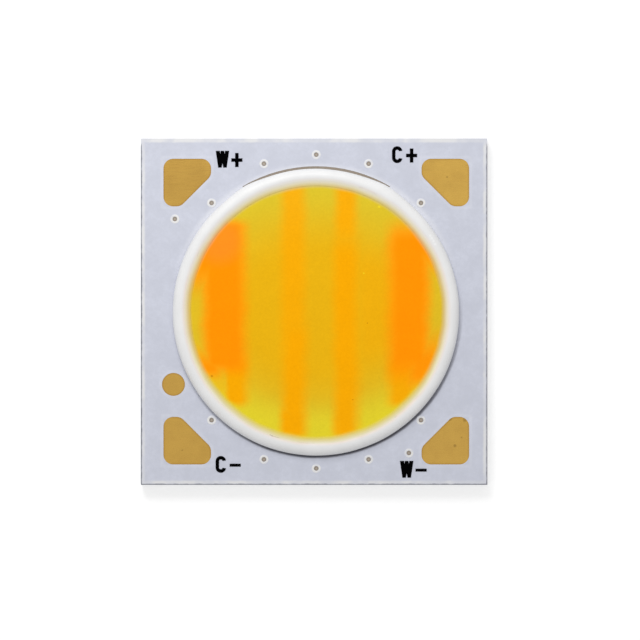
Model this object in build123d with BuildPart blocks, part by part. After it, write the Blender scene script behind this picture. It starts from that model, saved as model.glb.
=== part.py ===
from build123d import *
from math import asin, degrees, sqrt
import os

# A two-colour chip-on-board light source: a square metal board, with a round field of small
# chips under phosphor gel. All sizes are in millimetres.
# The origin is where the optical axis meets the board's underside. +Z is the side that gives
# light, and +Y is the side with the two plus pads.

# Board, from its underside up
board_size = 19.0
board_offset = -0.12  # the board was cut a little to the left of its artwork
base_thickness = 0.90
insulation_thickness = 0.08
copper_thickness = 0.035
finish_thickness = 0.010
mask_cover = 0.025  # solder mask on top of the copper
ink_thickness = 0.015

# Dam and gel
dam_margin = 1.67  # from the board's edge to the dam
dam_width = 0.85
dam_height = 0.555
dam_side = 0.13  # height of the bead's upright sides, below its round top
gel_depth = 0.40  # from the insulation to the gel's surface
window_inset = 0.08  # from the dam's foot to the window in the insulation

# Bus bars and tracks
bus_inset = 0.08  # from the dam's foot to the inner bus bar
inner_bus_width = 0.30
bus_spacing = 0.14
outer_bus_width = 1.45
bus_end_margin = 0.30  # bus bar past its outermost string
lead_width = 1.0
land_overlap = 0.15  # copper under the mask, round each pad
mask_clearance = 0.07  # from the inner bus bar to the mask
exposed_edge = 0.14  # outer bus bar left bare outside the dam, on the plus side
covered_edge = 0.08  # mask under the dam's outer edge, on the minus side
bare_half_angle = 30.5  # of the bare stretch, each side of the middle

# Pads, and the round pad where the temperature is taken
pad_margin = 1.12  # from the board's edge to a pad
pad_size = 2.61
pad_corner_cut = 1.67
pad_corner_radius = 0.53
point_diameter = 1.26
point_gap = 0.33  # from the dam to the round pad
point_angle = 207  # about the optical axis, in degrees

# Alignment marks
mark_diameter = 0.25
row_mark_inset = 0.35  # from the outer bus bar's edge
lead_mark_inset = 0.68  # from the outer bus bar's edge, for the marks of the outermost columns
pad_mark_offset = 2.00  # from the middle of a warm pad, along the board's edge
pad_mark_setback = 0.68  # from the middle of a warm pad, towards the board's edge
spur_width = 0.50

# Chips, glue and bond wires
columns_each_side = 4
outer_column_inset = 1.16  # from the window's edge to the outermost column
least_chip_pitch = 0.50  # along the outermost columns, where the chips are closest
chip_length = 0.38  # along the column
chip_width = 0.66
chip_thickness = 0.15
chip_edge_clearance = 0.15  # from the window's edge to a chip's corner
glue_thickness = 0.02
wire_size = 0.03
wire_foot = 0.05
wire_slope = 0.06
wire_rise = 0.18  # top of the wire above the chip
wire_landing = 0.10  # from the middle of the chip

# Warm stripes in the gel
stripe_inset = 0.09  # from the window's edge to a stripe's end
single_stripe_width = 1.00
double_stripe_inner_margin = 0.40  # past the column nearer the middle
double_stripe_outer_margin = 0.50  # past the outer column
short_line_gap = 3.41  # how far the outermost line on the left stops short of the others

# Legends
legend_height = 0.92
letter_w_width = 0.77
letter_w_stroke = 0.22
letter_c_width = 0.57
sign_width = 0.61
sign_height = 0.77
sign_distance = 0.79  # from the letter's middle to the sign's
sign_drop = 0.045  # from the letter's middle down to the sign's
stroke = 0.19
minus_stroke = 0.16
letter_c_gap = 8  # from the horizontal to each end of the C, in degrees

# Heights
base_top = base_thickness
insulation_top = base_top + insulation_thickness
copper_top = insulation_top + copper_thickness
finish_top = copper_top + finish_thickness
mask_top = copper_top + mask_cover
gel_top = insulation_top + gel_depth
dam_shoulder = insulation_top + dam_side
dam_top = insulation_top + dam_height
chip_bottom = base_top + glue_thickness
chip_top = chip_bottom + chip_thickness

# Radii
dam_outer_radius = board_size / 2 - dam_margin
dam_inner_radius = dam_outer_radius - dam_width
dam_middle_radius = dam_outer_radius - dam_width / 2
window_radius = dam_inner_radius - window_inset
inner_bus = (dam_inner_radius + bus_inset, dam_inner_radius + bus_inset + inner_bus_width)
outer_bus = (inner_bus[1] + bus_spacing, inner_bus[1] + bus_spacing + outer_bus_width)
mask_window_radius = inner_bus[1] + mask_clearance
bare_radius = dam_outer_radius + exposed_edge
covered_radius = dam_outer_radius - covered_edge
inner_landing = (inner_bus[0] + inner_bus[1]) / 2
outer_landing = (outer_bus[0] + covered_radius) / 2
pad_reach = board_size / 2 - pad_margin - pad_size / 2
pad_radius = pad_reach * sqrt(2)
point_radius = dam_outer_radius + point_gap + point_diameter / 2
row_mark_radius = outer_bus[1] - row_mark_inset
lead_mark_radius = outer_bus[1] - lead_mark_inset
stripe_radius = window_radius - stripe_inset

# Columns: each holds one string. The warm strings end on the inner bus bars, the cool strings
# on the outer ones.
column_pitch = (window_radius - outer_column_inset) / columns_each_side
warm_columns = [-4, -3, -1, 1, 3, 4]
cool_columns = [-2, 0, 2]


def chip_reach(column):
    """From the middle of a column to the middle of its last chip."""
    outer_edge = abs(column) * column_pitch + chip_width / 2
    return sqrt((window_radius - chip_edge_clearance) ** 2 - outer_edge**2) - chip_length / 2


chips_per_string = 1 + int(2 * chip_reach(columns_each_side) / least_chip_pitch)


def chip_rows(column):
    """The places of the chips along one column, from the minus end to the plus end."""
    reach = chip_reach(column)
    pitch = 2 * reach / (chips_per_string - 1)
    return [-reach + n * pitch for n in range(chips_per_string)]


def half_angle(column, radius):
    """Half the angle of a bus bar that reaches past the given column, in degrees."""
    return degrees(asin((column * column_pitch + bus_end_margin) / radius))


inner_half_angle = half_angle(max(warm_columns), inner_landing)
outer_half_angle = half_angle(max(cool_columns), outer_landing)
covered_end = degrees(land_overlap / outer_landing)

# Angles about the optical axis, in degrees: of the two sides and of the four pads
plus, minus = 90, 270
pad_angles = {"warm_plus": 135, "cold_plus": 45, "cold_minus": 225, "warm_minus": 315}

# Each bus bar: its radii, and the angles where it starts and ends
bus_bars = {
    "warm_plus": (inner_bus, plus - inner_half_angle, plus + inner_half_angle),
    "cold_plus": (outer_bus, pad_angles["cold_plus"], plus + bare_half_angle + covered_end),
    "cold_minus": (outer_bus, pad_angles["cold_minus"], minus + outer_half_angle + covered_end),
    "warm_minus": (inner_bus, minus - inner_half_angle, minus + inner_half_angle),
}

# What the mask leaves bare of each bus bar, in the same way
bare_strips = {
    "warm_plus": (inner_bus, plus - inner_half_angle, plus + inner_half_angle),
    "cold_plus": ((outer_bus[0], bare_radius), plus - bare_half_angle, plus + bare_half_angle),
    "cold_minus": (
        (outer_bus[0], covered_radius),
        minus - outer_half_angle,
        minus + outer_half_angle,
    ),
    "warm_minus": (inner_bus, minus - inner_half_angle, minus + inner_half_angle),
}

# Alignment marks: two rows in line with the columns, and one mark beside each warm pad
row_marks = []
for side in (1, -1):
    for column in range(-columns_each_side, columns_each_side + 1, 2):
        mark_x = column * column_pitch
        from_axis = lead_mark_radius if abs(column) == columns_each_side else row_mark_radius
        row_marks.append((mark_x, side * sqrt(from_axis**2 - mark_x**2)))
pad_marks = {
    "warm_plus": (-pad_reach - pad_mark_setback, pad_reach - pad_mark_offset),
    "warm_minus": (pad_reach - pad_mark_offset, -pad_reach - pad_mark_setback),
}
spur_starts = {
    "warm_plus": (pad_marks["warm_plus"][0], pad_reach),
    "warm_minus": (pad_reach, pad_marks["warm_minus"][1]),
}
marks = row_marks + list(pad_marks.values())


def ring_sector(radii, start, end):
    """A sector of a ring about the optical axis."""
    with BuildSketch() as sector:
        with BuildLine():
            near = CenterArc((0, 0), radii[0], start, end - start)
            far = CenterArc((0, 0), radii[1], start, end - start)
            Line(near @ 0, far @ 0)
            Line(near @ 1, far @ 1)
        make_face()
    return sector.sketch


def wire_path(start, end):
    """The points of a bond wire's centre line, which has a flat foot at each end."""
    half = wire_size / 2
    level = chip_top + wire_rise - half
    reach = wire_foot + wire_slope
    return [
        (start[0], start[1] + half),
        (start[0] + wire_foot, start[1] + half),
        (start[0] + reach, level),
        (end[0] - reach, level),
        (end[0] - wire_foot, end[1] + half),
        (end[0], end[1] + half),
    ]


def string_wires(column, landing_radius):
    """The bond wires of one string, as pairs of ends, from the minus bus bar to the plus one."""
    rows = chip_rows(column)
    bus_y = sqrt(landing_radius**2 - (column * column_pitch) ** 2)
    feet = [(-bus_y, finish_top)]
    for row in rows:
        feet.append((row - wire_landing, chip_top))
        feet.append((row + wire_landing, chip_top))
    feet.append((bus_y, finish_top))
    return list(zip(feet[0::2], feet[1::2]))


# The outline of a corner pad, with its cut corner towards the middle of the board
with BuildSketch() as pad_outline:
    Rectangle(pad_size, pad_size, rotation=45)
    chamfer(pad_outline.vertices().sort_by(Axis.X)[0], length=pad_corner_cut)
    fillet(pad_outline.vertices(), radius=pad_corner_radius)

with BuildSketch() as land_outline:
    add(pad_outline.sketch)
    offset(amount=land_overlap)

with BuildPart() as base_plate:
    with BuildSketch():
        with Locations((board_offset, 0)):
            Rectangle(board_size, board_size)
    extrude(amount=base_thickness)

with BuildPart() as insulation_layer:
    with BuildSketch(Plane.XY.offset(base_top)):
        with Locations((board_offset, 0)):
            Rectangle(board_size, board_size)
        Circle(window_radius, mode=Mode.SUBTRACT)
    extrude(amount=insulation_thickness)

# Copper: each track is a pad's land, a bus bar and the lead between them, and a warm track also
# has a short spur to the alignment mark beside its pad
copper = {}
for name, (radii, start, end) in bus_bars.items():
    lead_start = radii[0] + inner_bus_width / 2
    with BuildPart() as track:
        with BuildSketch(Plane.XY.offset(insulation_top)):
            with PolarLocations(pad_radius, 1, start_angle=pad_angles[name]):
                add(land_outline.sketch)
            with PolarLocations((lead_start + pad_radius) / 2, 1, start_angle=pad_angles[name]):
                Rectangle(pad_radius - lead_start, lead_width)
            add(ring_sector(radii, start, end))
            if name in pad_marks:
                with BuildLine():
                    Line(spur_starts[name], pad_marks[name])
                trace(line_width=spur_width)
                with Locations(pad_marks[name]):
                    Circle(spur_width / 2)
        extrude(amount=copper_thickness)
    copper[f"track_{name}"] = track

with BuildPart() as point_land:
    with BuildSketch(Plane.XY.offset(insulation_top)):
        with PolarLocations(point_radius, 1, start_angle=point_angle):
            Circle(point_diameter / 2 + land_overlap)
    extrude(amount=copper_thickness)
copper["temperature_point_land"] = point_land

# Plated finish, where the mask leaves the copper bare
finish = {}
for name, pad_angle in pad_angles.items():
    with BuildPart() as pad:
        with BuildSketch(Plane.XY.offset(copper_top)):
            with PolarLocations(pad_radius, 1, start_angle=pad_angle):
                add(pad_outline.sketch)
        extrude(amount=finish_thickness)
    finish[f"pad_{name}"] = pad

for colour in ("warm", "cold"):
    with BuildPart() as bus_finish:
        with BuildSketch(Plane.XY.offset(copper_top)):
            add([ring_sector(*bare_strips[f"{colour}_{end}"]) for end in ("plus", "minus")])
        extrude(amount=finish_thickness)
    finish[f"bus_finish_{colour}"] = bus_finish

with BuildPart() as point_pad:
    with BuildSketch(Plane.XY.offset(copper_top)):
        with PolarLocations(point_radius, 1, start_angle=point_angle):
            Circle(point_diameter / 2)
    extrude(amount=finish_thickness)
finish["temperature_point_pad"] = point_pad

with BuildPart() as alignment_marks:
    with BuildSketch(Plane.XY.offset(copper_top)):
        with Locations(*marks):
            Circle(mark_diameter / 2)
    extrude(amount=finish_thickness)
finish["alignment_marks"] = alignment_marks

with BuildPart() as solder_mask:
    with BuildSketch(Plane.XY.offset(insulation_top)):
        with Locations((board_offset, 0)):
            Rectangle(board_size, board_size)
        with BuildSketch(mode=Mode.SUBTRACT):
            Circle(mask_window_radius)
            for name in ("cold_plus", "cold_minus"):
                radii, start, end = bare_strips[name]
                add(ring_sector((inner_bus[1], radii[1]), start, end))
            with PolarLocations(pad_radius, 4, start_angle=45):
                add(pad_outline.sketch)
            with PolarLocations(point_radius, 1, start_angle=point_angle):
                Circle(point_diameter / 2)
            with Locations(*marks):
                Circle(mark_diameter / 2)
    extrude(amount=mask_top - insulation_top)
    add([track.part for track in copper.values()], mode=Mode.SUBTRACT)

with BuildSketch() as letter_w:
    across = (letter_w_width - letter_w_stroke) / 2
    up = (legend_height - letter_w_stroke) / 2
    arm_top = legend_height / 2 + letter_w_stroke / 2
    feet = across / 2
    with BuildLine():
        Polyline((-across, arm_top), (-feet, -up), (0, up), (feet, -up), (across, arm_top))
    trace(line_width=letter_w_stroke)
    Rectangle(letter_w_width, legend_height, mode=Mode.INTERSECT)

with BuildSketch() as letter_c:
    bend = (letter_c_width - stroke) / 2
    rise = (legend_height - stroke) / 2 - bend
    with BuildLine():
        upper = CenterArc((0, rise), bend, letter_c_gap, 180 - letter_c_gap)
        lower = CenterArc((0, -rise), bend, 180, 180 - letter_c_gap)
        Line(upper @ 1, lower @ 0)
    trace(line_width=stroke)

# Each legend stands beside its pad: its letter, its pad and the letter's place from the pad
legends = {
    "warm_plus": (letter_w, (-pad_reach, pad_reach), (1.93, 1.28)),
    "cold_plus": (letter_c, (pad_reach, pad_reach), (-2.64, 1.53)),
    "cold_minus": (letter_c, (-pad_reach, -pad_reach), (1.84, -1.30)),
    "warm_minus": (letter_w, (pad_reach, -pad_reach), (-2.12, -1.57)),
}
ink = {}
for name, (letter, pad_place, letter_offset) in legends.items():
    letter_x = pad_place[0] + letter_offset[0]
    letter_y = pad_place[1] + letter_offset[1]
    with BuildPart() as legend:
        with BuildSketch(Plane((letter_x, letter_y, mask_top))):
            add(letter.sketch)
            with Locations((sign_distance, -sign_drop)):
                if name.endswith("plus"):
                    Rectangle(sign_width, stroke)
                    Rectangle(stroke, sign_height)
                else:
                    Rectangle(sign_width, minus_stroke)
        extrude(amount=ink_thickness)
    ink[f"legend_{name}"] = legend

# Strings of chips, each with the glue below it and the bond wires from bus bar to bus bar
chips = {}
wires = {}
glue = {}
for colour, columns, landing in (
    ("warm", warm_columns, inner_landing),
    ("cool", cool_columns, outer_landing),
):
    with BuildPart() as die_glue:
        with BuildSketch(Plane.XY.offset(base_top)):
            for column in columns:
                with Locations(*[(column * column_pitch, row) for row in chip_rows(column)]):
                    Rectangle(chip_width, chip_length)
        extrude(amount=glue_thickness)
    glue[f"die_glue_{colour}"] = die_glue

    for number, column in enumerate(columns, start=1):
        with BuildPart() as string:
            with BuildSketch(Plane.XY.offset(chip_bottom)):
                with Locations(*[(column * column_pitch, row) for row in chip_rows(column)]):
                    Rectangle(chip_width, chip_length)
            extrude(amount=chip_thickness)
        chips[f"chips_{colour}_{number}"] = string

        with BuildPart() as string_bonds:
            with BuildSketch(Plane.YZ.offset(column * column_pitch)):
                for foot, next_foot in string_wires(column, landing):
                    with BuildLine():
                        Polyline(*wire_path(foot, next_foot))
                    trace(line_width=wire_size)
            extrude(amount=wire_size / 2, both=True)
        wires[f"bond_wires_{colour}_{number}"] = string_bonds

# Dam: a bead with upright sides and a round top
with BuildPart() as dam_bead:
    with BuildSketch(Plane.XZ):
        with BuildLine():
            foot = Polyline(
                (dam_inner_radius, dam_shoulder),
                (dam_inner_radius, insulation_top),
                (dam_outer_radius, insulation_top),
                (dam_outer_radius, dam_shoulder),
            )
            ThreePointArc(foot @ 1, (dam_middle_radius, dam_top), foot @ 0)
        make_face()
    revolve(axis=Axis.Z)

under_dam = [solder_mask, *copper.values(), *finish.values(), *wires.values()]
with BuildPart() as dam_ring:
    add(dam_bead.part)
    add([solid.part for solid in under_dam], mode=Mode.SUBTRACT)

# Gel: the warm stripes stand in the cool filling, level with its surface
column_x = [column * column_pitch for column in range(columns_each_side + 1)]
double_inner = column_x[3] - double_stripe_inner_margin
double_outer = column_x[4] + double_stripe_outer_margin
single_inner = column_x[1] - single_stripe_width / 2
single_outer = column_x[1] + single_stripe_width / 2
stripes = {
    "warm_gel_left_double": (-double_outer, -double_inner),
    "warm_gel_left_single": (-single_outer, -single_inner),
    "warm_gel_right_single": (single_inner, single_outer),
    "warm_gel_right_double": (double_inner, double_outer),
}
line_border = (column_x[3] + column_x[4]) / 2
embedded = [solid.part for solid in (*chips.values(), *wires.values(), *glue.values())]

# The double stripe on the left ends in a step, where its outer line stops short
warm_gel = {}
for name, (left, right) in stripes.items():
    with BuildPart() as stripe:
        with BuildSketch(Plane.XY.offset(base_top)):
            Circle(stripe_radius)
            with Locations(((left + right) / 2, 0)):
                Rectangle(right - left, 2 * stripe_radius, mode=Mode.INTERSECT)
            with Locations((-line_border, short_line_gap - stripe_radius)):
                Rectangle(
                    stripe_radius,
                    stripe_radius,
                    align=(Align.MAX, Align.MAX),
                    mode=Mode.SUBTRACT,
                )
        extrude(amount=gel_top - base_top)
    warm_gel[name] = stripe

with BuildPart() as cool_gel:
    with BuildSketch(Plane.XY.offset(base_top)):
        Circle(dam_middle_radius)
    extrude(amount=gel_top - base_top)
    add([dam_bead.part, insulation_layer.part], mode=Mode.SUBTRACT)
    add([stripe.part for stripe in warm_gel.values()] + embedded, mode=Mode.SUBTRACT)

for name, stripe in warm_gel.items():
    with BuildPart() as filled_stripe:
        add(stripe.part)
        add(embedded, mode=Mode.SUBTRACT)
    warm_gel[name] = filled_stripe

pieces = {
    "base_plate": base_plate,
    "insulation_layer": insulation_layer,
    **copper,
    **finish,
    "solder_mask": solder_mask,
    **ink,
    **glue,
    **chips,
    **wires,
    "dam_ring": dam_ring,
    "cool_gel": cool_gel,
    **warm_gel,
}

os.makedirs("parts", exist_ok=True)
for name, piece in pieces.items():
    piece.part.label = name
    export_step(piece.part, f"parts/{name}.step")
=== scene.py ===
"""The finished surfaces of a two-colour chip-on-board light source, built round its solids."""

import math

import bmesh
import bpy
from bpy.props import FloatProperty, FloatVectorProperty, IntProperty, PointerProperty
from mathutils import Matrix, Vector, noise


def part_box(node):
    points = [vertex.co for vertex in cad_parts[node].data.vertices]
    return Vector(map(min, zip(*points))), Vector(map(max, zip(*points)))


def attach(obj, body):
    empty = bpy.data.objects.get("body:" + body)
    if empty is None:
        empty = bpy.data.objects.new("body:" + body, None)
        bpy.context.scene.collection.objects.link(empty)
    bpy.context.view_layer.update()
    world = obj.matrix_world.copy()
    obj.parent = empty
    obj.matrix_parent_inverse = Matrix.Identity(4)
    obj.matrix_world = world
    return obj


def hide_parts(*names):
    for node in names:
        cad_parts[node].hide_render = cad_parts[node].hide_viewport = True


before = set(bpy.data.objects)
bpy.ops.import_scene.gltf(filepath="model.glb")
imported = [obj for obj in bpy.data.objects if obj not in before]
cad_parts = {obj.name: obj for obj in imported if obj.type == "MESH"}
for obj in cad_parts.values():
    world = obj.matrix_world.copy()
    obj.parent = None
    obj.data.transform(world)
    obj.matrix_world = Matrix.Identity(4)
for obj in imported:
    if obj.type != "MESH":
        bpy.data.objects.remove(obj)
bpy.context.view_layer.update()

bl_info = {
    "name": "Chip-on-board light source",
    "version": (1, 0, 0),
    "blender": (4, 5, 0),
    "location": "View3D > Sidebar > Light source",
    "description": "Finishes the board, the dam and the gel of a two-colour light source",
    "category": "Object",
}

MM = 0.001

# How dark the painted shade is where the gel meets the dam, how much painted glow the gel gives off
# though it is no lamp, and how much the gel and the silicone shine
SEAM_SHADE_DEPTH = 0.16
GEL_PAINTED_GLOW = 0.12
GEL_SHINE = 0.03
SILICONE_SHINE = 0.35

# Radius of the hole in the raised mask round a mark, in millimetres
MARK_HOLE = 0.13

# Places and heights that the solids give
board_low, board_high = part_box("base_plate")
finish_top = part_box("alignment_marks")[1].z
mask_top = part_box("solder_mask")[1].z
dam_low, dam_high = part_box("dam_ring")
dam_radius = dam_high.x
gel_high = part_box("cool_gel")[1]
gel_radius = gel_high.x
pad_low, pad_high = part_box("pad_cold_plus")
point_low, point_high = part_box("temperature_point_pad")

# Orange in the gel's surface, in millimetres: the left, right, bottom and top edge, how soft each
# of them is, and how deep the orange is. First the wide bands and their outer parts. Then the
# narrow stripes, a faint haze beside one of them, and the lower ends of the wide bands.
GEL_BANDS = (
    ((-6.12, -3.92, -3.26, 4.95), (0.46, 0.56, 0.52, 0.36), 1.00),
    ((-7.50, -4.90, 1.50, 4.95), (0.30, 0.60, 1.20, 0.36), 1.00),
    ((-7.50, -5.20, -3.50, -2.20), (0.30, 0.50, 0.40, 0.90), 0.95),
    ((4.00, 6.14, -3.45, 4.62), (0.58, 0.50, 0.95, 0.90), 1.00),
    ((5.00, 7.50, 2.40, 4.60), (0.60, 0.30, 1.10, 0.80), 1.00),
    ((5.00, 7.50, -4.00, -1.60), (0.60, 0.30, 0.60, 1.20), 0.95),
)
GEL_STRIPES = (
    ((-1.88, -0.62, -8.00, 8.00), (0.42, 0.42, 0.30, 0.30), 0.80),
    ((-1.78, -0.56, -8.00, -0.40), (0.42, 0.46, 0.30, 1.20), 1.00),
    ((-1.95, -0.66, -8.00, -4.90), (0.34, 0.38, 0.30, 1.00), 1.00),
    ((1.00, 2.28, -8.00, 4.20), (0.40, 0.52, 0.30, 1.40), 0.98),
    ((1.02, 2.12, 3.60, 8.00), (0.36, 0.38, 1.40, 0.30), 0.90),
    ((0.94, 2.02, -8.00, -4.90), (0.32, 0.34, 0.30, 1.00), 0.92),
    ((2.30, 4.00, -2.60, 3.20), (0.60, 0.50, 1.20, 1.20), 0.35),
    ((-4.98, -3.80, -5.15, -2.60), (0.28, 0.46, 0.32, 0.60), 1.00),
    ((3.96, 5.40, -5.15, -2.60), (0.46, 0.60, 0.35, 0.60), 0.95),
    ((-6.20, -4.70, -4.60, -3.20), (0.40, 0.40, 0.50, 0.50), 0.45),
)

# Specks, painted shade over a pad, painted highlights on the dam, glints and the paler place in
# the orange, in millimetres: x, y and radius
GOLD_SPECKS = (
    (7.17, 7.38, 0.05),
    (7.60, -7.35, 0.08),
    (7.33, -5.88, 0.09),
    (8.15, -5.93, 0.11),
    (-8.40, 7.65, 0.05),
    (7.96, -6.90, 0.04),
    (-7.35, -7.60, 0.04),
)
# Painted shade over the upper left pad, the one nearest the lamp
GOLD_PAINTED_SHADE = ((-7.10, 7.10, 1.60),)
DAM_HIGHLIGHTS = ((6.24, 4.16, 0.06), (6.33, 4.02, 0.06), (6.42, 3.86, 0.06), (6.50, 3.70, 0.06))
GEL_SPECKS = ((-5.72, -3.53, 0.06), (2.80, -0.63, 0.035), (2.00, -4.82, 0.035))
GEL_GLINTS = ((3.44, 5.74, 0.06), (2.60, 2.10, 0.04))
PALE_ORANGE = ((-5.30, 3.90, 1.15),)


def shade(red, green, blue):
    """A colour as it looks on a screen, from 0 to 255, as the linear colour that a shader takes."""

    def linear(value):
        share = value / 255
        return share / 12.92 if share <= 0.04045 else ((share + 0.055) / 1.055) ** 2.4

    return linear(red), linear(green), linear(blue)


def scaled(value, share):
    """A colour made darker or brighter."""
    return tuple(min(1, part * share) for part in value)


def length(name, description, size_mm):
    """A length that a user can change."""
    return FloatProperty(name=name, description=description, default=size_mm * MM, unit="LENGTH")


def colour(name, description, red, green, blue):
    """A colour that a user can change."""
    default = shade(red, green, blue)
    return FloatVectorProperty(
        name=name, description=description, default=default, subtype="COLOR", min=0, max=1
    )


class BoardSizes(bpy.types.PropertyGroup):
    """Sizes of what is finished round the solids."""

    edge_rounding: length("Edge rounding", "Radius of the plate's edges", 0.03)
    burr_width: length("Burr", "Width of the rough band at the foot of the cut sides", 0.30)
    dam_width: length("Dam width", "Width of the white bead", 0.85)
    dam_foot: length("Dam foot", "Height over which the bead narrows to its foot", 0.15)
    dam_wave: length("Dam wave", "How far the bead's sides wander", 0.012)
    dam_lean: length("Dam lean", "How far the bead spreads at its lower left", 0.045)
    dam_swell: length("Dam swell", "How far the bead spreads all round", 0.025)
    dam_brow: length("Dam brow", "How far the bead spreads towards the plus pads", 0.022)
    dam_close: length("Dam close", "How far the bead spreads at the ends of the bare bus bar", 0.08)
    dam_steps: IntProperty(name="Dam steps", description="Sections round the bead", default=288)
    creep_height: length("Gel creep", "How far the gel climbs the bead", 0.12)
    creep_width: length("Gel creep width", "Where the gel's surface starts to climb", 0.22)
    rim_width: length("Rim width", "Width of the raised mask round a mark", 0.14)
    rim_height: length("Rim height", "Height of the raised mask round a mark", 0.012)


class BoardColours(bpy.types.PropertyGroup):
    """Colours of the finishes."""

    aluminium: colour("Aluminium", "The metal plate", 205, 206, 208)
    laminate: colour("Laminate", "The insulation under the tracks", 196, 186, 160)
    copper: colour("Copper", "Tracks under the mask", 200, 126, 88)
    mask: colour("Mask", "The white solder mask", 204, 207, 220)
    mask_light: colour("Mask light", "The mask round the pads and above the dam", 240, 241, 246)
    mask_rim: colour("Mask rim", "The mask round the marks and along the cut edge", 234, 233, 231)
    # Painted shade: the dark cut edge and the painted shadow line along the dam
    mask_shade: colour("Mask dark", "Cut edge, and the line along the dam", 60, 59, 70)
    gold: colour("Gold", "Plating of the pads", 200, 161, 79)
    # Dull gold: worn places, and the painted shade over the upper left pad
    gold_dull_and_shade: colour("Dull gold", "Smudges and worn places on the plating", 146, 108, 52)
    # Dull brown-grey colour of the small bare places, darker than the pads' gold
    gold_small_bare: colour("Small bare gold", "Small bare places near the dam", 141, 134, 125)
    ink: colour("Ink", "The printed legends", 1, 1, 2)
    silicone: colour("Silicone", "The white dam", 238, 238, 238)
    cool_gel: colour("Cool gel", "Yellow gel in the middle", 228, 174, 16)
    cool_gel_rim: colour("Cool gel rim", "Yellow gel where it is thin", 213, 190, 44)
    cool_gel_low: colour("Cool gel low", "Yellow gel at the lower end", 224, 207, 44)
    warm_gel: colour("Warm gel", "Orange gel", 254, 144, 0)
    warm_gel_pale: colour("Pale warm gel", "Orange gel where it is thin", 251, 141, 34)
    warm_gel_thin: colour("Narrow warm gel", "Orange gel of the narrow stripes", 244, 166, 0)
    # Painted shade where the gel meets the dam
    seam: colour("Seam", "Where the gel meets the dam", 150, 112, 52)
    glue: colour("Glue", "Adhesive under the chips", 226, 224, 214)
    chip: colour("Chip", "The light-giving chips", 166, 184, 206)


class BoardStage(bpy.types.PropertyGroup):
    """Lamp, sky and camera."""

    sky: FloatProperty(name="Sky", description="Light from all round", default=0.62)
    lamp_power: FloatProperty(
        name="Lamp", description="Power of the lamp", default=0.0254, unit="POWER"
    )
    lamp_size: length("Lamp size", "Side of the square lamp", 40)
    floor_glow: FloatProperty(
        name="Floor glow", description="How much the floor is lifted towards white", default=0.42
    )
    lamp_place: FloatVectorProperty(
        name="Lamp place",
        description="Where the lamp stands",
        default=(-0.014, 0.047, 0.056),
        subtype="TRANSLATION",
    )
    view_width: length("View width", "Width of the picture at the board's face", 35.09)
    view_height: length("View height", "From the board's face up to the camera", 250)
    view_centre: FloatVectorProperty(
        name="View centre",
        description="The point at the middle of the picture",
        default=(0.203 * MM, -0.4605 * MM),
        size=2,
        unit="LENGTH",
    )


class Graph:
    """Adds nodes to a tree, and links them."""

    def __init__(self, tree):
        self.tree = tree

    def add(self, kind, inputs=None, **settings):
        """A new node, with its settings made and its inputs set or linked."""
        made = self.tree.nodes.new(kind)
        for name, value in settings.items():
            setattr(made, name, value)
        self.feed(made, inputs or {})
        return made

    def feed(self, node, inputs):
        """Links each input that comes from a socket, and sets the others."""
        for socket, value in inputs.items():
            if isinstance(value, bpy.types.NodeSocket):
                self.tree.links.new(value, node.inputs[socket])
            else:
                node.inputs[socket].default_value = value

    def math(self, operation, *values):
        """The result of one calculation on one to three values."""
        inputs = dict(enumerate(values))
        return self.add("ShaderNodeMath", inputs, operation=operation).outputs[0]

    def distance(self, across, up):
        """How far a point lies from the middle, from its two parts."""
        square = self.math("MULTIPLY_ADD", across, across, self.math("MULTIPLY", up, up))
        return self.math("SQRT", square)

    def rise(self, value, start, end, low=0.0, high=1.0):
        """Goes smoothly from low to high while the value goes from start to end."""
        inputs = {"Value": value, "From Min": start, "From Max": end, "To Min": low, "To Max": high}
        made = self.add("ShaderNodeMapRange", inputs, interpolation_type="SMOOTHSTEP")
        return made.outputs["Result"]

    def mix(self, share, first, second, blend="MIX"):
        """Two colours, mixed by a share."""
        inputs = {0: share, 6: rgba(first), 7: rgba(second)}
        made = self.add("ShaderNodeMix", inputs, data_type="RGBA", blend_type=blend)
        return made.outputs[2]

    def noise(self, place, scale, detail=2.0, roughness=0.5):
        """Noise from 0 to 1, with its scale in waves for each millimetre."""
        inputs = {"Vector": place, "Scale": scale, "Detail": detail, "Roughness": roughness}
        return self.add("ShaderNodeTexNoise", inputs).outputs["Fac"]

    def ragged(self, value, place, scale, amount):
        """A value that noise lifts by up to the amount."""
        return self.math("MULTIPLY_ADD", self.noise(place, scale), amount, value)

    def bump(self, height, depth_mm):
        """The normal of a surface with bumps of the given depth."""
        inputs = {"Height": height, "Distance": depth_mm * MM}
        return self.add("ShaderNodeBump", inputs).outputs["Normal"]

    def use(self, group, inputs=None):
        """The outputs of one of the shared groups."""
        made = self.add("ShaderNodeGroup", node_tree=bpy.data.node_groups[group])
        self.feed(made, inputs or {})
        return made.outputs


def rgba(value):
    """A colour with an alpha of 1, or a socket as it is."""
    if isinstance(value, bpy.types.NodeSocket):
        return value
    return (*value, 1)


def new_group(name, inputs, outputs):
    """An empty shared group: its graph, its inputs and its output node."""
    tree = bpy.data.node_groups.new(name, "ShaderNodeTree")
    for in_out, sockets in (("INPUT", inputs), ("OUTPUT", outputs)):
        for label, kind in sockets:
            tree.interface.new_socket(name=label, in_out=in_out, socket_type=f"NodeSocket{kind}")
    graph = Graph(tree)
    return graph, graph.add("NodeGroupInput").outputs, graph.add("NodeGroupOutput")


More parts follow.
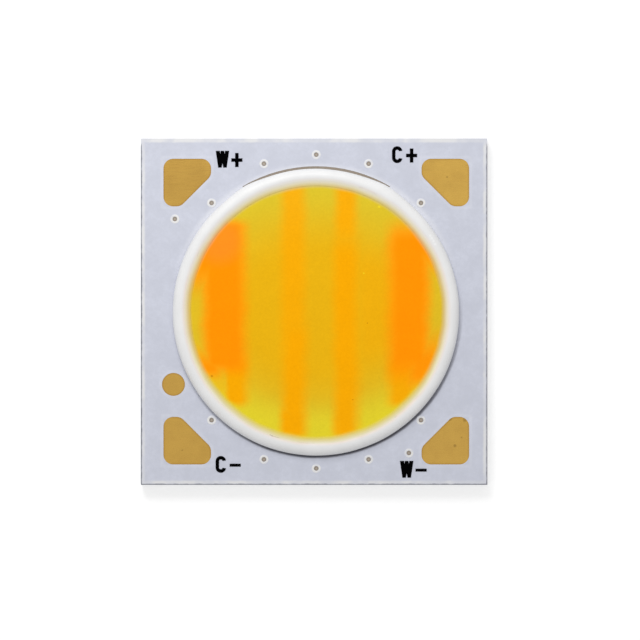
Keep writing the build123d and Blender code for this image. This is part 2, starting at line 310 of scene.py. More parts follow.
def build_place_group():
    """Where a point lies on the board, in millimetres: its parts and its distance from the axis."""
    outputs = [("Place", "Vector"), ("X", "Float"), ("Y", "Float"), ("Z", "Float")]
    graph, _, end = new_group("board_place", [], [*outputs, ("Radius", "Float")])
    object_place = graph.add("ShaderNodeTexCoord").outputs["Object"]
    inputs = {0: object_place, "Scale": 1 / MM}
    place = graph.add("ShaderNodeVectorMath", inputs, operation="SCALE").outputs[0]
    parts = graph.add("ShaderNodeSeparateXYZ", {0: place}).outputs
    radius = graph.distance(parts[0], parts[1])
    given = {"Place": place, "X": parts[0], "Y": parts[1], "Z": parts[2], "Radius": radius}
    graph.feed(end, given)


def build_spot_group():
    """A soft round spot."""
    inputs = [("Place", "Vector"), ("Centre X", "Float"), ("Centre Y", "Float")]
    inputs += [("Radius", "Float")]
    graph, given, end = new_group("spot", inputs, [("Mask", "Float")])
    parts = graph.add("ShaderNodeSeparateXYZ", {0: given["Place"]}).outputs
    across = graph.math("SUBTRACT", parts[0], given["Centre X"])
    up = graph.math("SUBTRACT", parts[1], given["Centre Y"])
    share = graph.math("DIVIDE", graph.distance(across, up), given["Radius"])
    graph.feed(end, {"Mask": graph.rise(share, 0.5, 1.5, 1, 0)})


def build_band_group():
    """One inside a band of a value, and nothing outside it."""
    inputs = [(label, "Float") for label in ("Value", "Start", "End", "Softness")]
    graph, given, end = new_group("band", inputs, [("Mask", "Float")])
    from_start = graph.math("SUBTRACT", given["Value"], given["Start"])
    to_end = graph.math("SUBTRACT", given["End"], given["Value"])
    nearest = graph.math("MINIMUM", from_start, to_end)
    share = graph.math("DIVIDE", nearest, given["Softness"])
    graph.feed(end, {"Mask": graph.rise(share, -1, 1)})


def build_pad_edge_group():
    """How far inside the nearest pad a point lies, in millimetres, and below zero outside it."""
    graph, given, end = new_group("pad_edge", [("Place", "Vector")], [("Inside", "Float")])
    parts = graph.add("ShaderNodeSeparateXYZ", {0: given["Place"]}).outputs
    across = graph.math("ABSOLUTE", parts[0])
    up = graph.math("ABSOLUTE", parts[1])
    near, far = pad_low.x / MM, pad_high.x / MM
    rounding = 0.25
    cut_distance = 9.34
    sides = []
    for value in (across, up):
        sides += [graph.math("SUBTRACT", value, near), graph.math("SUBTRACT", far, value)]
    along = graph.math("MULTIPLY", graph.math("ADD", across, up), math.sqrt(0.5))
    sides.append(graph.math("SUBTRACT", along, cut_distance))
    inside = sides[0]
    for side in sides[1:]:
        inside = graph.math("SMOOTH_MIN", inside, side, rounding)
    point = (point_low + point_high) / 2 / MM
    point_radius = (point_high.x - point_low.x) / 2 / MM
    off_x = graph.math("SUBTRACT", parts[0], point.x)
    off_y = graph.math("SUBTRACT", parts[1], point.y)
    in_point = graph.math("SUBTRACT", point_radius, graph.distance(off_x, off_y))
    graph.feed(end, {"Inside": graph.math("MAXIMUM", inside, in_point)})


def build_gel_line_group():
    """One stripe of gel with wandering, soft sides."""
    sides = ("Left", "Right", "Bottom", "Top")
    labels = ("X", "Y", "Seed", *sides, *[f"{side} Softness" for side in sides])
    inputs = [(label, "Float") for label in labels]
    graph, given, end = new_group("gel_line", inputs, [("Mask", "Float")])
    spread = 0.36
    mask = 1.0
    for value, other, low, high in (("X", "Y", "Left", "Right"), ("Y", "X", "Bottom", "Top")):
        place = graph.add("ShaderNodeCombineXYZ", {0: given["Seed"], 1: given[other]}).outputs[0]
        wander = graph.math("SUBTRACT", graph.noise(place, 0.45, 2.0), 0.5)
        moved = graph.math("MULTIPLY_ADD", wander, spread, given[value])
        from_low = graph.math("SUBTRACT", moved, given[low])
        from_high = graph.math("SUBTRACT", given[high], moved)
        for side, inside in ((low, from_low), (high, from_high)):
            share = graph.math("DIVIDE", inside, given[f"{side} Softness"])
            mask = graph.math("MULTIPLY", graph.rise(share, -1, 1), mask)
    graph.feed(end, {"Mask": mask})


def build_gel_fade_group():
    """How white the gel and the dam's wall look: from the gel's colour inside to the dam's white
    outside, and a band of painted shade where the gel meets the dam, wider at the bottom."""
    inputs = [("Radius", "Float"), ("Y", "Float"), ("Place", "Vector")]
    graph, given, end = new_group("gel_fade", inputs, [("Share", "Float"), ("Seam", "Float")])
    rim = gel_radius / MM
    wander = 0.10
    ahead = graph.rise(given["Y"], 1.0, 6.5, -wander / 2, 0.08 - wander / 2)
    lifted = graph.ragged(ahead, given["Place"], 0.9, wander)
    radius = graph.math("ADD", given["Radius"], lifted)
    # The painted shade reaches further out at the bottom, away from the lamp
    seam_shade_end = graph.rise(given["Y"], -6.5, -2.0, rim + 0.14, rim)
    seam = {"Value": radius, "Start": rim - 0.18, "End": seam_shade_end, "Softness": 0.09}
    shares = {"Share": graph.rise(radius, rim - 0.30, rim + 0.38)}
    shares["Seam"] = graph.use("band", seam)["Mask"]
    graph.feed(end, shares)


def new_finish(name, sockets=None):
    """A material with one shader, and the graph, shader and board place to work with."""
    material = bpy.data.materials.new(name)
    material.use_nodes = True
    graph = Graph(material.node_tree)
    shader = material.node_tree.nodes["Principled BSDF"]
    graph.feed(shader, sockets or {})
    return material, graph, shader, graph.use("board_place")


def spots(graph, at, table, depth):
    """The given depth on the spots of a table, and nothing elsewhere."""
    total = 0.0
    for spot_x, spot_y, radius in table:
        given = {"Place": at["Place"], "Centre X": spot_x, "Centre Y": spot_y, "Radius": radius}
        total = graph.math("MAXIMUM", graph.use("spot", given)["Mask"], total)
    return graph.math("MULTIPLY", total, depth)


def gel_lines(graph, at, table, seed):
    """How orange the gel is at a point, from a table of its bands or stripes."""
    roughness = 0.26
    ragged = graph.math("SUBTRACT", graph.noise(at["Place"], 2.4, 4.0, 0.7), 0.5)
    ragged_x = graph.math("MULTIPLY_ADD", ragged, roughness, at["X"])
    total = 0.0
    for edges, softness, depth in table:
        seed += 7.3
        given = {"X": ragged_x, "Y": at["Y"], "Seed": seed}
        for side, edge, soft in zip(("Left", "Right", "Bottom", "Top"), edges, softness):
            given |= {side: edge, f"{side} Softness": soft}
        line = graph.math("MULTIPLY", graph.use("gel_line", given)["Mask"], depth)
        total = graph.math("MAXIMUM", line, total)
    return total


def fade_to_dam(graph, shader, at, gel, silicone, seam):
    """Feeds the shader with gel that turns into silicone towards the dam's top, with painted shade
    where the gel meets the dam and a painted glow that fades out towards the dam.
    """
    fade = graph.use("gel_fade", {"Radius": at["Radius"], "Y": at["Y"], "Place": at["Place"]})
    base = graph.mix(fade["Share"], gel, silicone)
    # Painted shade where the gel meets the dam
    base = graph.mix(graph.math("MULTIPLY", fade["Seam"], SEAM_SHADE_DEPTH), base, seam)
    # Painted glow: the gel gives off light though it is no lamp, fading out towards the dam
    glow = graph.math("MULTIPLY_ADD", fade["Share"], -GEL_PAINTED_GLOW, GEL_PAINTED_GLOW)
    shine = graph.math("MULTIPLY_ADD", fade["Share"], SILICONE_SHINE - GEL_SHINE, GEL_SHINE)
    light = {"Emission Color": base, "Emission Strength": glow}
    graph.feed(shader, {"Base Color": base, "Specular IOR Level": shine, **light})


def along_cut_edge(graph, at, base, colours):
    """The mask's colour with its pale, ragged border, which has a dark outer edge, partly the cut
    edge and partly painted shade, except at the top, which faces the lamp."""
    centre = (board_low + board_high) / 2 / MM
    half = (board_high.x - board_low.x) / 2 / MM
    off_x = graph.math("ABSOLUTE", graph.math("SUBTRACT", at["X"], centre.x))
    reach = graph.math("MAXIMUM", off_x, graph.math("ABSOLUTE", at["Y"]))
    inside = graph.ragged(graph.math("SUBTRACT", half, reach), at["Place"], 3.0, 0.08)
    below_top = graph.rise(at["Y"], half - 0.5, half - 0.2, 1.0, 0.0)
    pale_start = graph.math("MULTIPLY_ADD", below_top, 0.35, -0.25)
    pale_edge = {"Value": inside, "Start": pale_start, "End": 0.26, "Softness": 0.07}
    broken = graph.rise(graph.noise(at["Place"], 0.8), 0.40, 0.60, 0.30, 0.75)
    pale_share = graph.math("MULTIPLY", graph.use("band", pale_edge)["Mask"], broken)
    base = graph.mix(pale_share, base, colours.mask_rim)
    # Painted shade along the cut edge, left out at the top
    edge_shade = graph.rise(inside, 0.07, 0.12, 0.75, 0.0)
    return graph.mix(graph.math("MULTIPLY", edge_shade, below_top), base, colours.mask_shade)


def along_dam(graph, at, base, colours):
    """The mask's colour with a painted shadow line under the bead, strongest at the bottom, away
    from the lamp, and a pale border above the bead."""
    # The painted shadow is darkest on the side that faces this angle, away from the lamp
    darkest = math.radians(-85)
    along = graph.math("MULTIPLY", at["X"], math.cos(darkest))
    along = graph.math("MULTIPLY_ADD", at["Y"], math.sin(darkest), along)
    facing = graph.math("DIVIDE", along, at["Radius"])
    left_fall = graph.rise(graph.math("DIVIDE", at["X"], at["Radius"]), -1.0, -0.3, 0.25, 1.0)
    shadow_weight = graph.math("MULTIPLY", graph.rise(facing, -0.15, 1.0), left_fall)
    from_dam = graph.math("SUBTRACT", at["Radius"], dam_radius / MM)
    from_dam = graph.ragged(from_dam, at["Place"], 1.6, 0.05)
    shadow_end = graph.math("MULTIPLY_ADD", shadow_weight, 0.02, 0.20)
    line = {"Value": from_dam, "Start": -0.5, "End": shadow_end, "Softness": 0.07}
    shadow_share = graph.math("MULTIPLY", graph.use("band", line)["Mask"], shadow_weight)
    base = graph.mix(shadow_share, base, colours.mask_shade)
    # Paler mask round the bead, on its upper side
    pale_border = graph.rise(from_dam, 0.12, 0.42, 0.42, 0.0)
    upper = graph.rise(graph.math("DIVIDE", at["Y"], at["Radius"]), 0.15, 0.75)
    return graph.mix(graph.math("MULTIPLY", pale_border, upper), base, colours.mask_light)


def mask_finish(colours):
    """White mask: faint mottling and grain, a pale band round each pad, a pale border at the cut
    edge with painted shade at its outer edge, and a painted shadow line where the dam's foot meets
    it."""
    material, graph, shader, at = new_finish("white_solder_mask")
    mottling = graph.noise(at["Place"], 0.9, 4.0, 0.6)
    tint = graph.rise(mottling, 0.3, 0.7)
    base = graph.mix(tint, scaled(colours.mask, 0.96), scaled(colours.mask, 1.05))
    grain = graph.rise(graph.noise(at["Place"], 4.5, 3.0, 0.7), 0.35, 0.65, 0.0, 0.5)
    base = graph.mix(grain, base, scaled(colours.mask, 0.93))

    pad_band_depth = 0.12
    inside = graph.use("pad_edge", {"Place": at["Place"]})["Inside"]
    # A pale band round each pad
    pad_band = graph.use("band", {"Value": inside, "Start": -0.16, "End": -0.01, "Softness": 0.05})
    base = graph.mix(graph.math("MULTIPLY", pad_band["Mask"], pad_band_depth), base, colours.mask_light)
    base = along_cut_edge(graph, at, base, colours)
    base = along_dam(graph, at, base, colours)

    peel = graph.noise(at["Place"], 7.0, 3.0)
    rough = graph.rise(mottling, 0.2, 0.8, 0.38, 0.50)
    normal = graph.bump(peel, 0.004)
    graph.feed(shader, {"Base Color": base, "Roughness": rough, "Normal": normal})
    return material


def rim_finish(colours, sizes):
    """The mask where it runs over a mark's land, paler the higher it stands."""
    material, graph, shader, at = new_finish("raised_solder_mask")
    grain = graph.noise(at["Place"], 4.0)
    foot = mask_top / MM
    raised = graph.rise(at["Z"], foot, foot + 0.8 * sizes.rim_height / MM)
    pale = graph.math("MULTIPLY", raised, graph.rise(grain, 0.30, 0.60, 0.4, 1.0))
    base = graph.mix(pale, colours.mask, colours.mask_rim)
    rough = graph.rise(grain, 0.2, 0.8, 0.34, 0.44)
    graph.feed(shader, {"Base Color": base, "Roughness": rough})
    return material


def gold_finish(colours):
    """Satin gold plating with fine scratches, a brown edge, darker towards the lower left, painted
    shade over the upper left pad, and a few dark specks.
    """
    material, graph, shader, at = new_finish("gold_plating", {"Metallic": 1.0})
    cloud = graph.noise(at["Place"], 0.9, 5.0, 0.62)
    fine = graph.noise(at["Place"], 14.0, 2.0)
    stretch = {"Vector": at["Place"], "Rotation": (0, 0, math.radians(24)), "Scale": (1, 14, 1)}
    streak_place = graph.add("ShaderNodeMapping", stretch).outputs[0]
    streaks = graph.noise(streak_place, 1.3, 4.0, 0.7)
    worn = graph.rise(graph.math("MULTIPLY_ADD", fine, 0.35, cloud), 0.50, 0.95, 0.0, 0.20)
    base = graph.mix(worn, colours.gold, colours.gold_dull_and_shade)
    # Darker towards the lower left
    low_corner = graph.math("MULTIPLY_ADD", at["X"], -0.4, graph.math("MULTIPLY", at["Y"], -1.0))
    base = graph.mix(graph.rise(low_corner, -6.0, 10.0, 0.0, 0.20), base, colours.gold_dull_and_shade)
    scratch = graph.rise(streaks, 0.60, 0.72, 0.0, 0.14)
    base = graph.mix(scratch, base, colours.gold_dull_and_shade)
    inside = graph.use("pad_edge", {"Place": at["Place"]})["Inside"]
    edge = graph.rise(inside, 0.0, 0.12, 0.45, 0.0)
    base = graph.mix(edge, base, colours.gold_dull_and_shade)
    # Painted shade over the upper left pad
    base = graph.mix(spots(graph, at, GOLD_PAINTED_SHADE, 0.30), base, colours.gold_dull_and_shade)
    base = graph.mix(spots(graph, at, GOLD_SPECKS, 0.40), base, scaled(colours.gold_dull_and_shade, 0.4))
    rough = graph.rise(streaks, 0.3, 0.8, 0.24, 0.34)
    height = graph.math("MULTIPLY_ADD", streaks, 0.6, fine)
    normal = graph.bump(height, 0.0015)
    graph.feed(shader, {"Base Color": base, "Roughness": rough, "Normal": normal})
    return material


def small_plating_finish(colours):
    """Small bare places, dull and brown, with a brighter middle in each mark."""
    material, graph, shader, at = new_finish("small_bare_plating", {"Metallic": 1.0})
    cloud = graph.noise(at["Place"], 5.0, 3.0)
    base = graph.mix(graph.math("MULTIPLY", cloud, 0.2), colours.gold_small_bare, colours.gold_dull_and_shade)
    middles = [(place[0] / MM, place[1] / MM, 0.05) for place in mark_places()]
    base = graph.mix(spots(graph, at, middles, 0.14), base, colours.mask_rim)
    rough = graph.rise(cloud, 0.3, 0.7, 0.45, 0.60)
    normal = graph.bump(cloud, 0.004)
    graph.feed(shader, {"Base Color": base, "Roughness": rough, "Normal": normal})
    return material


def ink_finish(colours):
    """Printed black ink, a little thinner in places."""
    material, graph, shader, at = new_finish("black_legend_ink", {"Specular IOR Level": 0.01})
    cover = graph.noise(at["Place"], 6.0, 3.0)
    thin = tuple(part + 0.002 for part in colours.ink)
    base = graph.mix(graph.rise(cover, 0.55, 0.8), colours.ink, thin)
    rough = graph.rise(cover, 0.3, 0.7, 0.42, 0.60)
    normal = graph.bump(cover, 0.003)
    graph.feed(shader, {"Base Color": base, "Roughness": rough, "Normal": normal})
    return material


def silicone_finish(colours):
    """White silicone with a few painted highlights, in the gel's colour where the gel wets it."""
    material, graph, shader, at = new_finish("white_silicone_bead")
    cloud = graph.noise(at["Place"], 1.1, 3.0)
    deep = scaled(colours.silicone, 0.965)
    base = graph.mix(graph.rise(cloud, 0.3, 0.7), colours.silicone, deep)
    white = (1.0, 1.0, 1.0)
    # Painted highlights on the bead
    base = graph.mix(spots(graph, at, DAM_HIGHLIGHTS, 0.4), base, white)
    wetted = graph.mix(0.5, colours.cool_gel_rim, colours.warm_gel)
    fade_to_dam(graph, shader, at, wetted, base, colours.seam)
    rough = graph.rise(cloud, 0.2, 0.8, 0.34, 0.46)
    normal = graph.bump(graph.noise(at["Place"], 4.0, 3.0), 0.005)
    graph.feed(shader, {"Roughness": rough, "Normal": normal})
    return material


def cool_colour(graph, at, colours):
    """Yellow gel, paler away from the middle and palest at the lower end."""
    flattening = 0.8
    squashed = graph.math("MULTIPLY", at["X"], flattening)
    from_middle = graph.distance(at["Y"], squashed)
    thin = graph.rise(from_middle, 2.9, 7.3)
    cool = graph.mix(thin, colours.cool_gel, colours.cool_gel_rim)
    below = graph.rise(at["Y"], -3.0, -1.0, 0.9, 0.0)
    low = graph.math("MULTIPLY", graph.rise(from_middle, 4.6, 6.5), below)
    return graph.mix(low, cool, colours.cool_gel_low)


def gel_colour(graph, at, colours):
    """Orange stripes and bands in the yellow gel, which end just inside the dam."""
    rim = gel_radius / MM
    radius = graph.ragged(at["Radius"], at["Place"], 0.7, 0.24)
    narrow_end = graph.rise(radius, rim - 0.30, rim + 0.10, 1.0, 0.0)
    stripes = graph.math("MULTIPLY", gel_lines(graph, at, GEL_STRIPES, 60), narrow_end)
    base = graph.mix(stripes, cool_colour(graph, at, colours), colours.warm_gel_thin)
    pale = spots(graph, at, PALE_ORANGE, 0.75)
    warm = graph.mix(pale, colours.warm_gel, colours.warm_gel_pale)
    wide_end = graph.rise(radius, rim - 0.24, rim + 0.20, 1.0, 0.0)
    bands = graph.math("MULTIPLY", gel_lines(graph, at, GEL_BANDS, 0), wide_end)
    return graph.mix(bands, base, warm)


def gel_finish(colours):
    """Phosphor gel: orange stripes in yellow, with soft borders, fine grains and a few specks."""
    material, graph, shader, at = new_finish("phosphor_gel")
    base = gel_colour(graph, at, colours)
    cloud = graph.noise(at["Place"], 0.8, 3.0)
    grains = graph.noise(at["Place"], 9.0, 2.0)
    tone = graph.math("MULTIPLY_ADD", grains, 0.14, graph.rise(cloud, 0.2, 0.8, 0.915, 0.945))
    tone_colour = graph.add("ShaderNodeCombineColor", {0: tone, 1: tone, 2: tone}).outputs[0]
    base = graph.mix(1.0, base, tone_colour, "MULTIPLY")
    base = graph.mix(spots(graph, at, GEL_SPECKS, 0.5), base, scaled(colours.warm_gel, 0.35))
    base = graph.mix(spots(graph, at, GEL_GLINTS, 0.6), base, shade(246, 222, 40))

    fade_to_dam(graph, shader, at, base, colours.silicone, colours.seam)
    rough = graph.rise(cloud, 0.2, 0.8, 0.40, 0.52)
    waves = graph.math("MULTIPLY_ADD", cloud, 6.0, grains)
    normal = graph.bump(waves, 0.004)
    graph.feed(shader, {"Roughness": rough, "Normal": normal})
    return material


def aluminium_finish(colours, sizes):
    """Rolled aluminium with sheared sides, which are rougher towards the foot."""
    material, graph, shader, at = new_finish("rolled_aluminium", {"Metallic": 1.0})
    rolled = graph.add("ShaderNodeMapping", {"Vector": at["Place"], "Scale": (0.15, 9, 1)})
    lines = graph.noise(rolled.outputs[0], 1.4, 5.0, 0.65)
    upright = graph.add("ShaderNodeMapping", {"Vector": at["Place"], "Scale": (6, 6, 0.7)})
    shear = graph.noise(upright.outputs[0], 1.6, 4.0, 0.6)
    burr = sizes.burr_width / MM
    uneven = graph.math("MULTIPLY_ADD", shear, 0.20, at["Z"])
    torn = graph.rise(uneven, burr, burr + 0.12, 1.0, 0.0)
    deep = scaled(colours.aluminium, 0.62)
    base = graph.mix(graph.rise(lines, 0.35, 0.75, 0.0, 0.45), colours.aluminium, deep)
    base = graph.mix(graph.math("MULTIPLY", torn, shear), base, deep)
    rough = graph.rise(graph.math("MAXIMUM", lines, torn), 0.2, 1.0, 0.28, 0.60)
    height = graph.math("ADD", lines, shear)
    normal = graph.bump(height, 0.006)
    graph.feed(shader, {"Base Color": base, "Roughness": rough, "Normal": normal})
    return material


def plain_finish(name, first, second, scale, roughness, metallic=0.0):
    """A finish that goes between two colours, with a fine grain."""
    material, graph, shader, at = new_finish(name, {"Metallic": metallic})
    cloud = graph.noise(at["Place"], scale, 4.0)
    base = graph.mix(graph.rise(cloud, 0.3, 0.7), first, second)
    rough = graph.rise(cloud, 0.2, 0.8, roughness - 0.06, roughness + 0.08)
    normal = graph.bump(cloud, 0.003)
    graph.feed(shader, {"Base Color": base, "Roughness": rough, "Normal": normal})
    return material


def dress(names, material):
    """Gives solids their material."""
    for name in names:
        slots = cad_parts[name].data.materials
        slots.clear()
        slots.append(material)


def named(*starts):
    """The names of the solids that start with one of the given words."""
    return [name for name in sorted(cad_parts) if name.startswith(starts)]


def new_piece(name, form, material, replaced=()):
    """A finished piece from a bmesh, in place on the board."""
    mesh = bpy.data.meshes.new(name)
    form.to_mesh(mesh)
    form.free()
    mesh.materials.append(material)
    piece = bpy.data.objects.new(name, mesh)
    bpy.context.scene.collection.objects.link(piece)
    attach(piece, "root")
    if replaced:
        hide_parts(*replaced)
    return piece


def smooth_faces(form):
    """Shades every face smooth."""
    for face in form.faces:
        face.smooth = True


def spin_ring(form, profile, steps, centre=(0, 0)):
    """Turns a closed section, given as distances from the axis and heights, into a ring."""
    axis = Vector((*centre, 0))
    corners = [form.verts.new(axis + Vector((radius, 0, height))) for radius, height in profile]
    pairs = zip(corners, corners[1:] + corners[:1])
    edges = [form.edges.new(pair) for pair in pairs]
    bmesh.ops.spin(
        form,
        geom=[*corners, *edges],
        cent=axis,
        axis=(0, 0, 1),
        angle=2 * math.pi,
        steps=steps,
        use_merge=True,
    )
    bmesh.ops.remove_doubles(form, verts=form.verts, dist=1e-7)


def mark_places():
    """The middles of the alignment marks, from their solids."""
    least_spacing = 0.4 * MM
    groups = []
    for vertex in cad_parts["alignment_marks"].data.vertices:
        place = Vector(vertex.co[:2])
        near = [group for group in groups if (group[0] - place).length < least_spacing]
        if near:
            near[0].append(place)
        else:
            groups.append([place])
    middles = []
    for group in groups:
        across = [place.x for place in group]
        up = [place.y for place in group]
        middles.append(((min(across) + max(across)) / 2, (min(up) + max(up)) / 2))
    return middles


def inner_reach(name):
    """The least distance from the axis at which a solid has a corner."""
    return min(math.hypot(*vertex.co[:2]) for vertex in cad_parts[name].data.vertices)


def bead_middle(sizes):
    """Half the bead's width, and the distance from the axis and the height of the middle of its
    round top."""
    half_width = sizes.dam_width / 2
    return half_width, dam_radius - half_width, dam_high.z - half_width


class PlateOperator(bpy.types.Operator):
    """Builds the aluminium plate with its softened edges"""

    bl_idname = "light_source.finish_plate"
    bl_label = "Finish the plate"

    def execute(self, context):
        sizes = context.scene.board_sizes
        form = bmesh.new()
        bmesh.ops.create_cube(form, size=1)
        size = board_high - board_low
        middle = (board_low + board_high) / 2
        bmesh.ops.transform(
            form, matrix=Matrix.Translation(middle) @ Matrix.Diagonal((*size, 1)), verts=form.verts
        )
        bmesh.ops.bevel(
            form,
            geom=form.edges[:],
            offset=sizes.edge_rounding,
            segments=3,
            profile=0.5,
            affect="EDGES",
            material=-1,
        )
        material = aluminium_finish(context.scene.board_colours, sizes)
        new_piece("aluminium_base", form, material, ["base_plate"])
        return {"FINISHED"}


class CircuitOperator(bpy.types.Operator):
    """Finishes the laminate and the copper tracks on it"""

    bl_idname = "light_source.finish_circuit"
    bl_label = "Finish laminate and copper"

    def execute(self, context):
        colours = context.scene.board_colours
        pale = scaled(colours.laminate, 1.15)
        laminate = plain_finish("glass_laminate", colours.laminate, pale, 5.0, 0.62)
        dress(["insulation_layer"], laminate)
        dark = scaled(colours.copper, 0.75)
        copper = plain_finish("etched_copper", colours.copper, dark, 3.0, 0.40, 1.0)
        dress(named("track_", "temperature_point_land"), copper)
        return {"FINISHED"}


class PlatingOperator(bpy.types.Operator):
    """Finishes the gold plating of the pads, the bus bars and the alignment marks"""

    bl_idname = "light_source.finish_plating"
    bl_label = "Finish the plating"

    def execute(self, context):
        colours = context.scene.board_colours
        dress(named("pad_", "temperature_point_pad"), gold_finish(colours))
        dress(named("bus_finish_", "alignment_marks"), small_plating_finish(colours))
        return {"FINISHED"}


class MaskOperator(bpy.types.Operator):
    """Finishes the mask and raises its rims round the alignment marks"""

    bl_idname = "light_source.finish_mask"
    bl_label = "Finish the mask"

    def execute(self, context):
        sizes = context.scene.board_sizes
        colours = context.scene.board_colours
        dress(["solder_mask"], mask_finish(colours))
        hole = MARK_HOLE * MM
        width, height = sizes.rim_width, sizes.rim_height
        profile = (
            (hole, finish_top),
            (hole, mask_top + 0.35 * height),
            (hole + 0.14 * width, mask_top + 0.85 * height),
            (hole + 0.35 * width, mask_top + height),
            (hole + 0.65 * width, mask_top + 0.70 * height),
            (hole + 0.90 * width, mask_top + 0.20 * height),
            (hole + width, mask_top - 0.10 * height),
            (hole + width, finish_top),
        )
        rim_steps = 32
        form = bmesh.new()
        for place in mark_places():
            spin_ring(form, profile, rim_steps, place)
        bmesh.ops.recalc_face_normals(form, faces=form.faces)
        smooth_faces(form)
        new_piece("mask_rims", form, rim_finish(colours, sizes))
        return {"FINISHED"}


class LegendOperator(bpy.types.Operator):
    """Finishes the printed legends beside the pads"""

    bl_idname = "light_source.finish_legends"
    bl_label = "Finish the legends"

    def execute(self, context):
        dress(named("legend_"), ink_finish(context.scene.board_colours))
        return {"FINISHED"}


class ChipOperator(bpy.types.Operator):
    """Finishes the chips, their glue and their bond wires"""

    bl_idname = "light_source.finish_chips"
    bl_label = "Finish the chips"

    def execute(self, context):
        colours = context.scene.board_colours
        pale = scaled(colours.chip, 1.25)
        dress(named("chips_"), plain_finish("chip_face", colours.chip, pale, 4.0, 0.22))
        clear = scaled(colours.glue, 0.92)
        dress(named("die_glue_"), plain_finish("die_glue", colours.glue, clear, 6.0, 0.30))
        dull = scaled(colours.gold, 0.8)
        dress(named("bond_wires_"), plain_finish("bond_wire", colours.gold, dull, 9.0, 0.25, 1.0))
        return {"FINISHED"}


class DamOperator(bpy.types.Operator):
    """Lays the white silicone bead, with its round top and its narrow foot"""

    bl_idname = "light_source.lay_dam"
    bl_label = "Lay the dam"

    def execute(self, context):
        sizes = context.scene.board_sizes
        half_width, middle, _ = bead_middle(sizes)
        form = bmesh.new()
        spin_ring(form, self.section(sizes), sizes.dam_steps)
        for vertex in form.verts:
            flat = Vector((vertex.co.x, vertex.co.y, 0))
            outward = flat.normalized()
            beside = (flat.length - middle) / half_width
            vertex.co += outward * self.spread(sizes, outward, beside) * abs(beside)
        bmesh.ops.recalc_face_normals(form, faces=form.faces)
        smooth_faces(form)
        material = silicone_finish(context.scene.board_colours)
        new_piece("silicone_dam", form, material, ["dam_ring"])
        return {"FINISHED"}

    def section(self, sizes):
        """The bead's section, which rests on the laminate, the plated bus bar and the mask."""
        half_width, middle, shoulder = bead_middle(sizes)
        bus_bar = (inner_reach("bus_finish_warm"), finish_top)
        mask = (inner_reach("solder_mask"), mask_top)
        profile = []
        section_steps = 44
        for step in range(section_steps):
            angle = 2 * math.pi * (step + 0.5) / section_steps
            radius = middle + half_width * math.cos(angle)
            reach = half_width if angle < math.pi else sizes.dam_foot
            seat = max([dam_low.z, *[top for start, top in (bus_bar, mask) if radius > start]])
            profile.append((radius, max(shoulder + reach * math.sin(angle), seat)))
        return profile

    def spread(self, sizes, outward, beside):
        """How far the bead's side lies outside its even section, in one direction. Beside goes
        from -1 at the inner side to 1 at the outer side."""
        wave_scale = 4.0
        swell = sizes.dam_wave * noise.noise(outward * wave_scale + Vector((0, 0, beside)))
        if beside <= 0:
            return swell
        lean_angle = math.radians(245)
        lean_towards = Vector((math.cos(lean_angle), math.sin(lean_angle), 0))
        swell += sizes.dam_swell + sizes.dam_lean * outward.dot(lean_towards)
        swell += sizes.dam_brow * max(outward.y, 0) ** 4
        bare_end_angle = math.radians(30)
        closing_angle = math.radians(7)
        from_top = math.atan2(abs(outward.x), outward.y)
        from_end = (from_top - bare_end_angle) / closing_angle
        return swell + sizes.dam_close * math.exp(-from_end * from_end)


class GelOperator(bpy.types.Operator):
    """Finishes the two gels and lets them climb the dam's side"""

    bl_idname = "light_source.pour_gel"
    bl_label = "Pour the gel"

    def execute(self, context):
        sizes = context.scene.board_sizes
        material = gel_finish(context.scene.board_colours)
        dress(named("cool_gel", "warm_gel_"), material)
        half_width, middle, shoulder = bead_middle(sizes)
        top = gel_high.z + sizes.creep_height
        wall = middle - math.sqrt(half_width**2 - (top - shoulder) ** 2)
        start = gel_radius - sizes.creep_width
        sunk = 0.002 * MM
        profile = [(start, gel_high.z - sunk)]
        climb_steps = 8
        climb_power = 1.5
        for step in range(1, climb_steps + 1):
            share = step / climb_steps
            height = share**climb_power * sizes.creep_height
            profile.append((start + (wall - start) * share, gel_high.z + height))
        # The section closes inside the bead and below the gel's surface, where it isn't seen
        hidden = wall + 0.04 * MM
        profile += [(hidden, top + 0.003 * MM), (hidden + 0.01 * MM, gel_high.z)]
        below = 0.02 * MM
        profile.append((start + below, gel_high.z - below))
        form = bmesh.new()
        spin_ring(form, profile, sizes.dam_steps)
        bmesh.ops.recalc_face_normals(form, faces=form.faces)
        smooth_faces(form)
        new_piece("gel_meniscus", form, material)
        return {"FINISHED"}


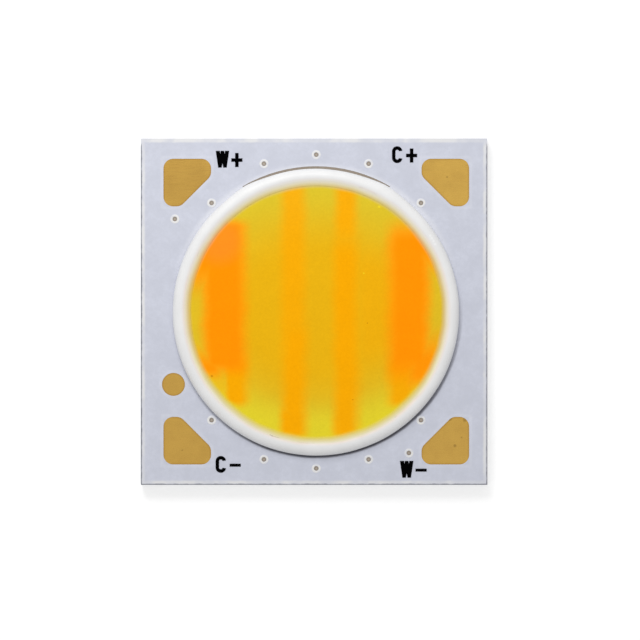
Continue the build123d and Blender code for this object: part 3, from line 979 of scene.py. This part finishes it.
class StageOperator(bpy.types.Operator):
    """Sets up the floor, the light and the camera"""

    bl_idname = "light_source.set_stage"
    bl_label = "Set the stage"

    def execute(self, context):
        stage = context.scene.board_stage
        self.lay_floor(context, stage)
        self.light_sky(context, stage)
        self.place_lamp(context, stage)
        self.place_camera(context, stage)
        context.scene.view_settings.view_transform = "Standard"
        return {"FINISHED"}

    def seen(self, graph):
        """One for rays that come from the camera, a mirror or a glass, and nothing for others."""
        path = graph.add("ShaderNodeLightPath").outputs
        mirrored = graph.math("MAXIMUM", path["Is Glossy Ray"], path["Is Transmission Ray"])
        return graph.math("MAXIMUM", path["Is Camera Ray"], mirrored)

    def lay_floor(self, context, stage):
        """A pale matte floor just below the board, which looks nearly white to the camera."""
        half_side = 0.6
        floor_grey = 0.8
        gap = 0.002 * MM
        form = bmesh.new()
        bmesh.ops.create_grid(form, x_segments=1, y_segments=1, size=half_side)
        bmesh.ops.translate(form, vec=(0, 0, -gap), verts=form.verts)
        mesh = bpy.data.meshes.new("floor")
        form.to_mesh(mesh)
        form.free()
        floor = bpy.data.objects.new("floor", mesh)
        context.scene.collection.objects.link(floor)
        material = bpy.data.materials.new("pale_floor")
        material.use_nodes = True
        mesh.materials.append(material)
        graph = Graph(material.node_tree)
        graph.tree.nodes.clear()
        matte = graph.add("ShaderNodeBsdfDiffuse", {"Color": (floor_grey,) * 3 + (1,)})
        strength = graph.math("MULTIPLY", self.seen(graph), stage.floor_glow)
        glow = graph.add("ShaderNodeEmission", {"Strength": strength})
        shown = graph.add("ShaderNodeAddShader", {0: matte.outputs[0], 1: glow.outputs[0]})
        graph.add("ShaderNodeOutputMaterial", {"Surface": shown.outputs[0]})

    def light_sky(self, context, stage):
        """An even white sky, which lights the board less than it shows."""
        sky = bpy.data.worlds.new("pale_sky")
        sky.use_nodes = True
        context.scene.world = sky
        graph = Graph(sky.node_tree)
        background = sky.node_tree.nodes["Background"]
        strength = graph.rise(self.seen(graph), 0.0, 1.0, stage.sky, 1.0)
        graph.feed(background, {"Color": (1, 1, 1, 1), "Strength": strength})

    def place_lamp(self, context, stage):
        """A square lamp, aimed at the board."""
        lamp = bpy.data.lights.new("lamp", "AREA")
        lamp.energy = stage.lamp_power
        lamp.size = stage.lamp_size
        holder = bpy.data.objects.new("lamp", lamp)
        context.scene.collection.objects.link(holder)
        holder.location = stage.lamp_place
        holder.rotation_euler = (-holder.location).to_track_quat("-Z", "Y").to_euler()

    def place_camera(self, context, stage):
        """A camera straight above the board."""
        lens = bpy.data.cameras.new("camera")
        lens.lens = lens.sensor_width * stage.view_height / stage.view_width
        lens.clip_start = 1 * MM
        lens.clip_end = 10
        camera = bpy.data.objects.new("camera", lens)
        context.scene.collection.objects.link(camera)
        camera.location = (*stage.view_centre, mask_top + stage.view_height)
        context.scene.camera = camera


class BoardPanel(bpy.types.Panel):
    """Lists the steps that build the light source"""

    bl_idname = "VIEW3D_PT_light_source"
    bl_label = "Light source"
    bl_space_type = "VIEW_3D"
    bl_region_type = "UI"
    bl_category = "Light source"

    def draw(self, context):
        for step in STEPS:
            self.layout.operator(step.bl_idname)
        for group in ("board_sizes", "board_colours", "board_stage"):
            settings = getattr(context.scene, group)
            box = self.layout.box()
            for name in settings.__annotations__:
                box.prop(settings, name)


STEPS = (
    PlateOperator,
    CircuitOperator,
    PlatingOperator,
    MaskOperator,
    LegendOperator,
    ChipOperator,
    DamOperator,
    GelOperator,
    StageOperator,
)
SETTINGS = {"board_sizes": BoardSizes, "board_colours": BoardColours, "board_stage": BoardStage}
GROUPS = (
    build_place_group,
    build_spot_group,
    build_band_group,
    build_pad_edge_group,
    build_gel_line_group,
    build_gel_fade_group,
)


def register():
    """Makes the settings, the operators and the panel known."""
    for cls in (*SETTINGS.values(), *STEPS, BoardPanel):
        bpy.utils.register_class(cls)
    for name, cls in SETTINGS.items():
        setattr(bpy.types.Scene, name, PointerProperty(type=cls))


def unregister():
    """Takes them away again."""
    for name in SETTINGS:
        delattr(bpy.types.Scene, name)
    for cls in reversed((*SETTINGS.values(), *STEPS, BoardPanel)):
        bpy.utils.unregister_class(cls)


def main():
    """Builds the light source."""
    register()
    for build in GROUPS:
        build()
    for step in STEPS:
        category, operator = step.bl_idname.split(".")
        getattr(getattr(bpy.ops, category), operator)()


if __name__ == "__main__":
    main()
